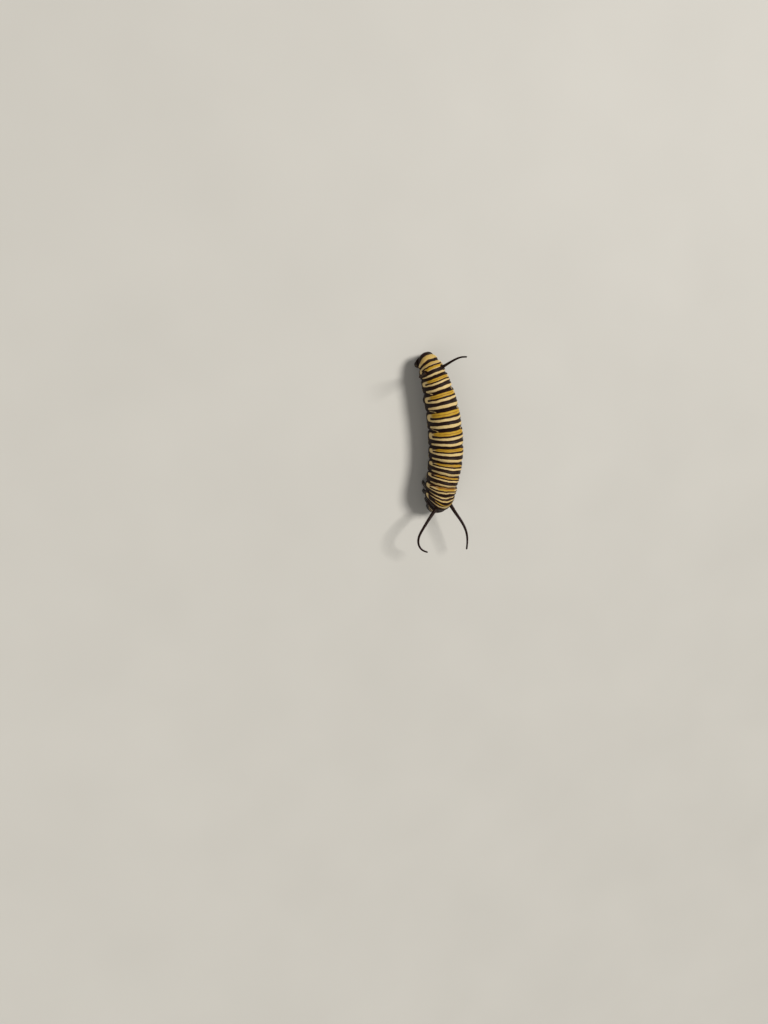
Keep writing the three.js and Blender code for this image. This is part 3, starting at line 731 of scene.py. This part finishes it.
class Graph:
    """A material whose methods each add one node and return its output."""

    def __init__(self, name, **fixed):
        self.material = bpy.data.materials.new(name)
        self.material.use_nodes = True
        self.tree = self.material.node_tree
        self.finish(**fixed)

    def put(self, value, socket):
        if isinstance(value, bpy.types.NodeSocket):
            self.tree.links.new(value, socket)
        else:
            socket.default_value = value

    def add(self, kind, inputs, output=0, **settings):
        node = self.tree.nodes.new("ShaderNode" + kind)
        for name, value in settings.items():
            setattr(node, name, value)
        for socket, value in inputs.items():
            self.put(value, node.inputs[socket])
        return node.outputs[output]

    def attribute(self, name):
        return self.add("Attribute", {}, "Fac", attribute_name=name)

    def place(self):
        return self.add("TexCoord", {}, "Object")

    def noise(self, vector, scale, detail=2.0, roughness=0.5):
        inputs = {"Vector": vector, "Scale": scale, "Detail": detail, "Roughness": roughness}
        return self.add("TexNoise", inputs)

    def maths(self, operation, a, b):
        return self.add("Math", {0: a, 1: b}, operation=operation)

    def span(self, value, low, high, start=0.0, end=1.0):
        inputs = {0: value, 1: low, 2: high, 3: start, 4: end}
        return self.add("MapRange", inputs, interpolation_type="SMOOTHSTEP")

    def mix(self, part, a, b):
        return self.add("Mix", {0: part, 6: a, 7: b}, 2, data_type="RGBA")

    def bump(self, height, distance):
        return self.add("Bump", {"Height": height, "Distance": distance, "Strength": 1.0})

    def finish(self, **values):
        """Sets or links the shader's own sockets."""
        for socket, value in values.items():
            self.put(value, self.tree.nodes["Principled BSDF"].inputs[socket.replace("_", " ")])
        return self.material


# Colours as they look on a screen, from 0 to 255, alone or as the two ends of a mix
TONES = {
    "cream": [(196, 172, 116), (222, 201, 146)],
    "gold": [(154, 114, 14), (204, 168, 42)],
    "black": [(14, 5, 1), (36, 14, 5)],
    "streak": [(112, 60, 10)],
    "grain": [(160, 118, 62)],
    "plate": [(38, 20, 24)],
    "rim": [(84, 46, 16)],
    "head_shell": [(12, 9, 8), (30, 22, 18), (216, 190, 96)],
    "black_shell": [(10, 8, 7), (26, 19, 16), (96, 76, 58)],
    "jaw": [(20, 10, 7), (44, 22, 12), (60, 34, 20)],
    "bristle": [(24, 18, 15)],
    "floor": [(186, 184, 178), (194, 192, 186)],
}
GRAIN = {"broad": 900.0, "fine": 9000.0, "rough": 5000.0, "bumps": 14000.0, "shell": 2500.0,
         "shell_fine": 7000.0}


def linear(value):
    """A level from 0 to 255 on a screen as the linear value that shaders use."""
    return ((value / 255 + 0.055) / 1.055) ** 2.4 if value > 10 else value / 255 / 12.92


def tones(name):
    return [(*(linear(value) for value in tone), 1) for tone in TONES[name]]


def skin_material():
    graph = Graph("banded_skin", Specular_IOR_Level=0.14, Subsurface_Weight=0.1,
                  Subsurface_Scale=0.0003, Subsurface_Radius=(1.0, 0.6, 0.3))
    place = graph.place()
    fine = graph.noise(place, GRAIN["fine"], 3.0)
    broad = graph.noise(place, GRAIN["broad"])
    ragged = graph.maths("MULTIPLY", graph.maths("SUBTRACT", fine, 0.5), 0.1)
    pale = graph.maths("ADD", graph.attribute("pale"), ragged)
    cream = graph.mix(broad, *tones("cream"))
    gold = graph.mix(broad, *tones("gold"))
    light = graph.mix(graph.attribute("golden"), cream, gold)
    streak = graph.span(graph.attribute("streak"), -0.04, 0.04, 0.0, 0.85)
    light = graph.mix(streak, light, *tones("streak"))
    light = graph.mix(graph.span(fine, 0.35, 0.7, 0.3, 0.0), light, *tones("grain"))
    dark = graph.mix(fine, *tones("black"))
    dark = graph.mix(graph.attribute("plate"), dark, *tones("plate"))
    edged = graph.mix(graph.span(pale, -0.03, 0.04), dark, *tones("rim"))
    colour = graph.mix(graph.span(pale, 0.02, 0.09), edged, light)
    rough = graph.span(graph.noise(place, GRAIN["rough"]), 0.3, 0.7, 0.4, 0.56)
    rough = graph.maths("SUBTRACT", rough, graph.maths("MULTIPLY", graph.attribute("plate"), 0.2))
    bumps = graph.bump(graph.noise(place, GRAIN["bumps"], 3.0, 0.6), 0.00004)
    return graph.finish(Base_Color=colour, Normal=bumps, Roughness=rough)


def shell_material(name, roughness):
    """A glossy shell of two dark tones, with a paler one where its attribute says so."""
    graph = Graph(name, Roughness=roughness, Specular_IOR_Level=0.5)
    place = graph.place()
    fine = graph.noise(place, GRAIN["shell_fine"])
    low, high, light = tones(name)
    tone = graph.mix(graph.noise(place, GRAIN["shell"]), low, high)
    pale = graph.maths("ADD", graph.attribute("pale"), graph.maths("MULTIPLY", fine, 0.03))
    colour = graph.mix(graph.span(pale, -0.02, 0.05), tone, light)
    return graph.finish(Base_Color=colour, Normal=graph.bump(fine, 0.000012))


def eye_material():
    return Graph("stemma", Base_Color=(0.004, 0.003, 0.003, 1), Roughness=0.08, Specular_IOR_Level=0.6,
                 Coat_Weight=0.6, Coat_Roughness=0.04).material


def bristle_material():
    return Graph("bristle", Base_Color=tones("bristle")[0], Roughness=0.4).material


def floor_material():
    graph = Graph("floor", Roughness=0.6)
    return graph.finish(Base_Color=graph.mix(graph.noise(graph.place(), 40.0), *tones("floor")))


# Skin

def add_skin():
    mesh = remeshed([body_shell(), *(limb.shell() for limb in [*PROLEGS.values(), *FEELERS.values()])])
    points = vectors_of(mesh.vertices, "co")
    furthest = 0.15
    for _ in range(3):
        move = np.clip(skin_field(points)[0], -furthest, furthest)
        points -= move[:, None] * vectors_of(mesh.vertex_normals, "vector")
        points[:, 2] = np.maximum(points[:, 2], 0)
        set_points(mesh, points)
    _, s, angle, body, legs, feelers = skin_field(points)
    marks = {**markings(s, angle), "plate": plates(s, angle)}
    pale = marks["pale"] = np.minimum(marks["pale"], np.minimum(legs, feelers - ROOT_PATCH) - body)
    for leg in PROLEGS.values():
        near = leg.near(points)
        pale[near] = np.maximum(pale[near], np.minimum(leg.spot(points[near]), 0.3))
    for name, values in marks.items():
        mark(mesh, name, values)
    set_points(mesh, points * MM)
    show("skin", mesh, skin_material(), [*RINGS, *PROLEGS, *FEELERS])
    bare = body < np.minimum(legs, feelers) - 0.1
    return points[bare], vectors_of(mesh.vertex_normals, "vector")[bare], s[bare], angle[bare]


# Head

def head_frame():
    middle, tangent, side, _ = (row[0] for row in frame_at(np.zeros(1)))
    ahead = -unit(tangent * (1, 1, 0))
    down = math.radians(FACE_DOWN)
    face = ahead * math.cos(down) - np.array([0, 0, math.sin(down)])
    right = unit(dot(side, face) * face - side)
    return middle - tangent * HEAD_AHEAD + right * HEAD_ASIDE, np.stack([right, face, np.cross(right, face)])


HEAD_MIDDLE, HEAD_AXES = head_frame()


def on_head(points):
    return HEAD_MIDDLE + np.asarray(points) @ HEAD_AXES


def from_line(places, shape):
    """Millimetres outside the line that is drawn on both sides of the face."""
    line = np.array(shape["line"], float)
    apart = [from_segment(places, *ends) for ends in zip(line[:-1], line[1:])]
    return np.min(apart, axis=0) * DEGREE_OF_HEAD - shape["half"]


def face_places(units):
    """Degrees from the middle of the face: out to either side, and up."""
    off = np.degrees(np.arccos(np.clip(units[:, 1], -1, 1)))
    flat = unit(units[:, [0, 2]] + 1e-9)
    return vector(np.abs(flat[:, 0]) * off, flat[:, 1] * off)


def capsule(units):
    """The head capsule: two domes with a groove between them, and the seams of its face."""
    x, y, z = units.T
    places = face_places(units)
    beside = from_line(places, FRONS_MARK)
    top = FRONS_MARK["line"][0][1]
    crown = bell(x * HEAD_HALF[0], *CROWN_SEAM) * step_up(places[:, 1], top - 4, top + 4)
    seam = bell(beside, *FRONS_SEAM) + crown
    sizes = np.tile(HEAD_HALF, (len(x), 1))
    sizes[y <= 0, 1] = HEAD_BACK
    points = units * (sizes - seam[:, None])
    points[:, 2] -= bell(x, *CROWN_NOTCH) * np.maximum(z, 0) ** 2
    return points


def head_marks(units):
    places = face_places(units)
    marks = [-from_line(places, shape) for shape in (FRONS_MARK, ARCH_MARK)]
    return np.maximum(*marks) + 0.012 * ripple(units, (0.08, 0.08, 0.08), seed=21)


def on_capsule(toward, side):
    """A point of the capsule in a direction, with the way out of it there."""
    way = unit(np.array(toward) * (-side, 1, 1) / HEAD_HALF)
    return capsule(way[None])[0], unit(way / HEAD_HALF)


# Rounded blocks round the mouth: middle, half sizes, and a power that is lower for a more boxlike one
BLOCKS = {
    "lip": ((0, 0.84, -1.6), (0.46, 0.13, 0.26), 0.7),
    "plate": ((0, 0.86, -1.2), (0.62, 0.13, 0.2), 0.65),
    "chin": ((0, -0.34, -1.56), (0.34, 0.3, 0.36), 0.85),
    "lobe": ((0.44, -0.28, -1.56), (0.25, 0.28, 0.33), 0.9),
    "jaw": ((0.42, 0.33, -1.7), (0.33, 0.19, 0.42), 0.8),
}
LIP_NOTCH = (0.14, 0.17)
JAW = {"thins": 0.55, "turns": 0.12, "tooth": 0.09, "teeth": 38}

# Round pegs: profiles as parts of the radius and distances out
SPINNERET = [(1, -0.2), (0.95, 0.1), (0.5, 0.25), (0.35, 0.4), (0.1, 0.44)]
PALP = [(1.1, -0.2), (1.1, 0.1), (0.75, 0.13), (0.75, 0.25), (0.5, 0.28), (0.5, 0.37), (0.25, 0.4),
        (0.05, 0.44)]
ANTENNA = [(1.25, -0.1), (1.2, 0.05), (0.95, 0.09), (0.95, 0.26), (0.7, 0.29), (0.72, 0.52), (0.62, 0.55),
           (0.36, 0.56), (0.36, 0.7), (0.2, 0.74), (0.06, 0.76)]


def block(name, side=-1):
    """A rounded block's points from its own middle, how low each lies in it, and its middle on the head."""
    middle, halves, power = BLOCKS[name]
    units = ball(16, 24, power)
    return units * halves, -units[..., 2], np.array(middle) * (-side, 1, 1)


def peg(foot, aim, radius, profile, sides=18):
    parts, outs = (np.array(column) for column in zip(*profile))
    line = np.array(foot) + unit(np.array(aim, float)) * outs[:, None]
    return sweep(line, radius * parts, sides)


def upper_lip():
    """The notched lip below the plate of the face."""
    rows, low, middle = block("lip")
    rows[..., 2] += bell(rows[..., 0], *LIP_NOTCH) * np.maximum(low, 0)
    return closed_tube(rows + middle)


def face_plate():
    rows, low, middle = block("plate")
    rows[..., 0] *= 1 + 0.16 * low
    return closed_tube(rows + middle)


def chin():
    """The lower lip and the two lobes beside it."""
    blocks = [block("chin"), *(block("lobe", side) for side in SIDES.values())]
    return [closed_tube(rows + middle) for rows, _, middle in blocks]


def mouth_parts():
    """The peg that spins silk and the two palps."""
    palps = [peg((-side * 0.42, -0.3, -1.75), (0, 0, -1), 0.15, PALP) for side in SIDES.values()]
    return [peg((0, -0.42, -1.8), (0, -0.2, -1), 0.12, SPINNERET), *palps]


def add_on_head(name, shape, material, pale=None):
    points, faces = shape
    add(name, (on_head(points), faces), material, [name], pale)


def add_head():
    units = ball(110, 168)
    flat = units.reshape(-1, 3)
    shell = closed_tube(capsule(flat).reshape(units.shape))
    plate = face_plate()
    whole = joined([shell, plate, upper_lip(), *chin(), *mouth_parts()])
    pale = np.full(len(whole[0]), -1.0)
    pale[: len(flat)] = head_marks(flat)
    pale[len(flat) : len(flat) + len(plate[0])] = 0.2
    add_on_head("head", whole, shell_material("head_shell", 0.2), pale)
    keep = (flat[:, 1] > -0.3) & (pale[: len(flat)] < 0.1)
    return on_head(shell[0])[keep], (unit(flat / HEAD_HALF) @ HEAD_AXES)[keep], flat[keep]


def add_eyes(word, side):
    """Six polished domes, each in a low round rim."""
    at, out = on_capsule(STEMMA["toward"], side)
    upward = unit(np.array([0, 0, 1]) - out * out[2])
    across = np.cross(upward, out)
    turns = np.radians(STEMMA_PLACES)
    places = [(STEMMA["arc"] * math.sin(turn), STEMMA["arc"] * math.cos(turn)) for turn in turns]
    parts = []
    for x, y in [*places, (0, STEMMA["inner"])]:
        way = unit(out * 1.35 + across * x + upward * y)
        foot, _ = on_capsule((at + across * x + upward * y) * (-side, 1, 1), side)
        parts.append(closed_tube(ball(22, 32) * STEMMA["radius"] + foot - 0.02 * way))
        rises, radii = np.array(STEMMA_RIM).T
        parts.append(sweep(foot + way * rises[:, None], STEMMA["radius"] * radii, 32))
    add_on_head(f"eyes_{word}", joined(parts), eye_material())


def add_jaw(word, side, material):
    """A hollowed wedge with blunt teeth along its edge."""
    rows, low, middle = block("jaw", side)
    low = np.maximum(low, 0)
    rows[..., 1] *= 1 - JAW["thins"] * low**2
    rows[..., 2] += JAW["tooth"] * low**3 * (0.5 + 0.5 * np.cos(rows[..., 0] * JAW["teeth"]))
    rows[..., 0] += side * JAW["turns"] * low**2
    add_on_head(f"jaw_{word}", closed_tube(rows + middle), material)


def add_antenna(word, side, material):
    foot, _ = on_capsule(FEELER["toward"], side)
    aim, sides = np.array(FEELER["aim"]) * (-side, 1, 1), 20
    joint = np.repeat([out < 0.08 or 0.26 < out < 0.3 for _, out in ANTENNA], sides)
    shape = peg(foot, aim, FEELER["radius"], ANTENNA, sides)
    add_on_head(f"antenna_{word}", shape, material, np.where(joint, 0.1, -0.2))


# Jointed legs

def claw(foot, tip, inward):
    """A hook from the end of a leg down to the floor."""
    bend = np.linspace(0, 1, 12)[:, None]
    start, turn = foot - (0, 0, 0.02), tip - inward * 0.02 + (0, 0, 0.04)
    end = tip + inward * CLAW["hook"] + (0, 0, 0.03)
    line = start * (1 - bend) ** 2 + 2 * bend * (1 - bend) * turn + end * bend**2
    return sweep(line, CLAW["radius"] * (1 - CLAW["thins"] * bend[:, 0]), 10)


def add_leg(name, ring, side, material):
    """A leg of four joints from the hip down, with a hooked claw that stands on the floor."""
    part, angle, out, back, radius = THORAX_LEGS[ring]
    s = np.array(place_on(ring, part))
    hip = skin_point(s, side * angle, ROOT_GAP)
    middle, _, level, _ = frame_at(s)
    outward = side * unit(level * (1, 1, 0))
    tip = (hip + outward * out + (0, back, 0)) * (1, 1, 0)
    knee = hip + (tip - hip) * KNEE["part"] + outward * KNEE["out"]
    turns = [hip + (middle - hip) * HIP_SUNK, hip, knee, tip + (0, 0, ANKLE_HEIGHT), tip]
    t = np.linspace(0, 1, 120)
    shaft = t < LEG_PLACES[-1]
    line, t = through(turns, len(t))[shaft], t[shaft]
    fold = sum(bell(t - joint, LEG_JOINTS["width"]) for joint in LEG_JOINTS["places"])
    radii = radius * smooth(LEG_PLACES, LEG_PARTS)(t) * (1 - LEG_JOINTS["depth"] * fold)
    shin = sweep(line, radii, LEG_SIDES)
    hook = claw(line[-1], tip, unit(middle * (1, 1, 0) - tip))
    points, faces = joined([shin, hook])
    points[:, 2] = np.maximum(points[:, 2], 0)
    pale = np.concatenate([np.repeat(fold * 0.14 - 0.08, LEG_SIDES), np.full(len(hook[0]), -0.1)])
    add(name, (points, faces), material, [name], pale)
    skin = points[: len(shin[0])]
    return skin, unit(skin - np.repeat(line, LEG_SIDES, axis=0)), np.repeat(t, LEG_SIDES)


# Breathing holes: an oval rim on each flank of most rings

SPIRACLE = {"angle": 100, "part": 0.42, "long": 0.21, "wide": 0.12, "rim": 0.045, "large": 1.35}
SPIRACLE_RINGS = ["thorax_1"] + [f"abdomen_{i}" for i in range(1, 9)]
LARGE_ON = ("thorax_1", "abdomen_8")


def spiracle(ring, angle):
    """One rim, laid flat on the skin."""
    s = np.array(place_on(ring, SPIRACLE["part"]))
    s = 2 * s - ring_place(s, angle)
    along = unit(skin_point(s + 0.2, angle) - skin_point(s - 0.2, angle))
    out = unit(np.cross(along, skin_point(s, angle + 3) - skin_point(s, angle - 3)))
    up = np.cross(out, along)
    at = skin_point(s, angle) - out * relief(s, np.array(float(angle)))
    around, tube = circle(28)[:, None], circle(10)
    size, rim = SPIRACLE["large"] if ring in LARGE_ON else 1.0, SPIRACLE["rim"]
    wide, long = (SPIRACLE[key] * size + rim * np.cos(tube) for key in ("wide", "long"))
    points = at + along * (wide * np.cos(around))[..., None] + up * (long * np.sin(around))[..., None]
    return closed_tube(points + out * (rim * np.sin(tube) + 0 * around)[..., None], looped=True)


def add_spiracles(material):
    rims = [spiracle(ring, side * SPIRACLE["angle"]) for ring in SPIRACLE_RINGS for side in SIDES.values()]
    add("spiracles", joined(rims), material)


# Hooks along the inner edge of each fleshy leg's sole

HOOKS = {"count": 22, "spread": 95, "level": 0.03, "radius": 0.028, "length": 0.16, "thins": 0.8}


def add_hooks(material):
    parts = []
    bend = np.linspace(0, 1, 6)[:, None]
    outs = HOOKS["length"] * (np.sin(bend * 2.2) * 0.75 - 0.15)
    rises = np.array([0, 0, 1]) * (HOOKS["length"] * (0.75 - 0.8 * bend**1.6))
    for leg in PROLEGS.values():
        middle, radii = leg.ring(np.array([HOOKS["level"]]))
        for turn in np.linspace(180 - HOOKS["spread"], 180 + HOOKS["spread"], HOOKS["count"]):
            outward = leg.outward * math.cos(math.radians(turn))
            rearward = leg.rearward * math.sin(math.radians(turn))
            edge = middle[0] + outward * radii[0, 0] + rearward * radii[0, 1]
            line = edge + (outward + rearward) * outs + rises
            parts.append(sweep(line, HOOKS["radius"] * (1 - HOOKS["thins"] * bend[:, 0]), 6))
    points, faces = joined(parts)
    points[:, 2] = np.maximum(points[:, 2], 0.004)
    add("hooks", (points, faces), material)


# Bristles: sparse and short, each a three-sided spike

SPIKE_FACES = [[0, 1, 4, 3], [1, 2, 5, 4], [2, 0, 3, 5], [3, 4, 6], [4, 5, 6], [5, 3, 6], [2, 1, 0]]
SPIKE_MAP = [(0, 0), (1, 0), (0.5, 1), (0, 0.5), (1, 0.5), (0.5, 0.9), (0.5, 0.6)]
BRISTLE = {"radius": 0.009, "sunk": 0.05, "thins": 0.6, "bend": 0.3, "patch": 0.003}


def add_bristles(name, skin, chosen, length, lean, seed):
    """Bristles on chosen points of a skin, each with its own patch of the unwrapped map."""
    roots, ways, places = (values[chosen] for values in skin)
    draw = np.random.default_rng(seed)
    count = len(roots)
    lengths = length * draw.uniform(0.55, 1.25, count)[:, None, None]
    ways = unit(ways + lean + 0.22 * draw.normal(size=(count, 3)))
    across = unit(np.cross(ways, draw.normal(size=(count, 3))))
    around = circle(3)[:, None]
    ring = across[:, None] * np.cos(around) + np.cross(ways, across)[:, None] * np.sin(around)
    rows = []
    for t in (0.0, 0.5):
        middle = roots[:, None] + ways[:, None] * (t * lengths - BRISTLE["sunk"])
        rows.append(middle + ring * BRISTLE["radius"] * (1 - BRISTLE["thins"] * t))
    bent = unit(ways + BRISTLE["bend"] * across)
    rows.append(roots[:, None] + (0.5 * ways + 0.5 * bent)[:, None] * lengths)
    points = np.concatenate(rows, axis=1)
    faces = [[i + len(SPIKE_MAP) * k for i in face] for k in range(count) for face in SPIKE_FACES]
    mesh = mesh_of(name, points.reshape(-1, 3), faces)
    spike, corner = np.divmod(np.concatenate(faces), len(SPIKE_MAP))
    map_places = places[spike] + np.array(SPIKE_MAP)[corner] * BRISTLE["patch"]
    mesh.uv_layers.new(name="OFBake").data.foreach_set("uv", map_places.astype(np.float32).ravel())
    show(name, mesh, bristles)


def pick(count, available, seed, chance=None):
    return np.random.default_rng(seed).choice(available, count, replace=False, p=chance)


# The larva

skin_points, skin_ways, skin_s, skin_angle = add_skin()
head_points, head_ways, head_units = add_head()
black_shell = shell_material("black_shell", 0.24)
jaw_shell = shell_material("jaw", 0.25)
bristles = bristle_material()
for word, side in SIDES.items():
    add_eyes(word, side)
    add_jaw(word, side, jaw_shell)
    add_antenna(word, side, black_shell)
    for i, ring in enumerate(THORAX_LEGS):
        name = f"leg_{i + 1}_{word}"
        leg_points, leg_ways, leg_t = add_leg(name, ring, side, black_shell)
        below = np.flatnonzero((leg_t > 0.35) & (leg_points[:, 2] > 0.2))
        chosen = below[pick(34, len(below), seed=31 + i)]
        places = 0.02 + 0.15 * vector(leg_t, np.arange(len(leg_t)) % LEG_SIDES / LEG_SIDES)
        hairy = leg_points, leg_ways, places
        add_bristles(f"{name}_bristles", hairy, chosen, 0.24, (0, 0, -0.5), 41 + i)
add_spiracles(black_shell)
add_hooks(jaw_shell)

weight = 0.15 + step_up(np.abs(skin_angle), 70, 105) + 2.0 * (skin_s < 3) * (np.abs(skin_angle) > 40)
chosen = pick(1300, len(skin_points), 5, weight / weight.sum())
hairy = skin_points, skin_ways, 0.02 + 0.95 * vector(skin_s / LENGTH, (skin_angle + 180) / 360)
add_bristles("bristles", hairy, chosen, 0.21, (0, 0.2, 0), 6)
chosen = pick(110, len(head_points), 7)
hairy = head_points, head_ways, 0.05 + 0.9 * (face_places(head_units) + 180) / 360
add_bristles("head_bristles", hairy, chosen, 0.28, (0, -0.3, -0.2), 8)


# Floor, light and camera

def make_floor():
    corners = 8.0 * np.array([(-1, -1, 0), (1, -1, 0), (1, 1, 0), (-1, 1, 0)])
    mesh = mesh_of("floor", corners, [[0, 1, 2, 3]], scale=1)
    mesh.materials.append(floor_material())
    floor = placed("floor", mesh)


def make_light(name, toward, spread, power, colour):
    """An even light from far off, as soft as a panel that many degrees across."""
    data = bpy.data.lights.new(name, "SUN")
    data.angle = math.radians(spread)
    data.energy = power
    data.color = colour
    placed(name, data).rotation_euler = (-Vector(toward)).to_track_quat("-Z", "Y").to_euler()


def make_world():
    world = bpy.data.worlds.new("world")
    world.use_nodes = True
    background = world.node_tree.nodes["Background"]
    background.inputs["Color"].default_value = (1.0, 0.98, 0.95, 1)
    background.inputs["Strength"].default_value = 0.22
    bpy.context.scene.world = world


def make_camera():
    focal = LENS / SENSOR * max(PHOTO_SIZE)
    back = Vector(LOOK_FROM).normalized()
    right = Vector((0, 1, 0)).cross(back).normalized()
    level = Matrix((right, back.cross(right), back)).transposed()
    across, down = (LOOK_AT_PIXEL[k] - PHOTO_SIZE[k] / 2 for k in (0, 1))
    ray = Vector((across / focal, -down / focal, -1))
    turn = ray.rotation_difference(Vector((0, 0, -1))).to_matrix()
    data = bpy.data.cameras.new("camera")
    data.lens = LENS
    data.sensor_width = SENSOR
    data.clip_start = 0.005
    camera = placed("camera", data)
    place = (Vector(LOOK_AT) + back * focal / PIXELS_PER_MM) * MM
    camera.matrix_world = Matrix.Translation(place) @ (level @ turn).to_4x4()
    bpy.context.scene.camera = camera


make_floor()
make_world()
make_light("key", toward=(0.22, 0.12, 0.34), spread=18, power=3.3, colour=(1.0, 0.97, 0.92))
make_light("fill", toward=(-0.3, -0.2, 0.3), spread=45, power=0.55, colour=(1.0, 0.98, 0.95))
make_camera()
bpy.context.scene.view_settings.view_transform = "Standard"
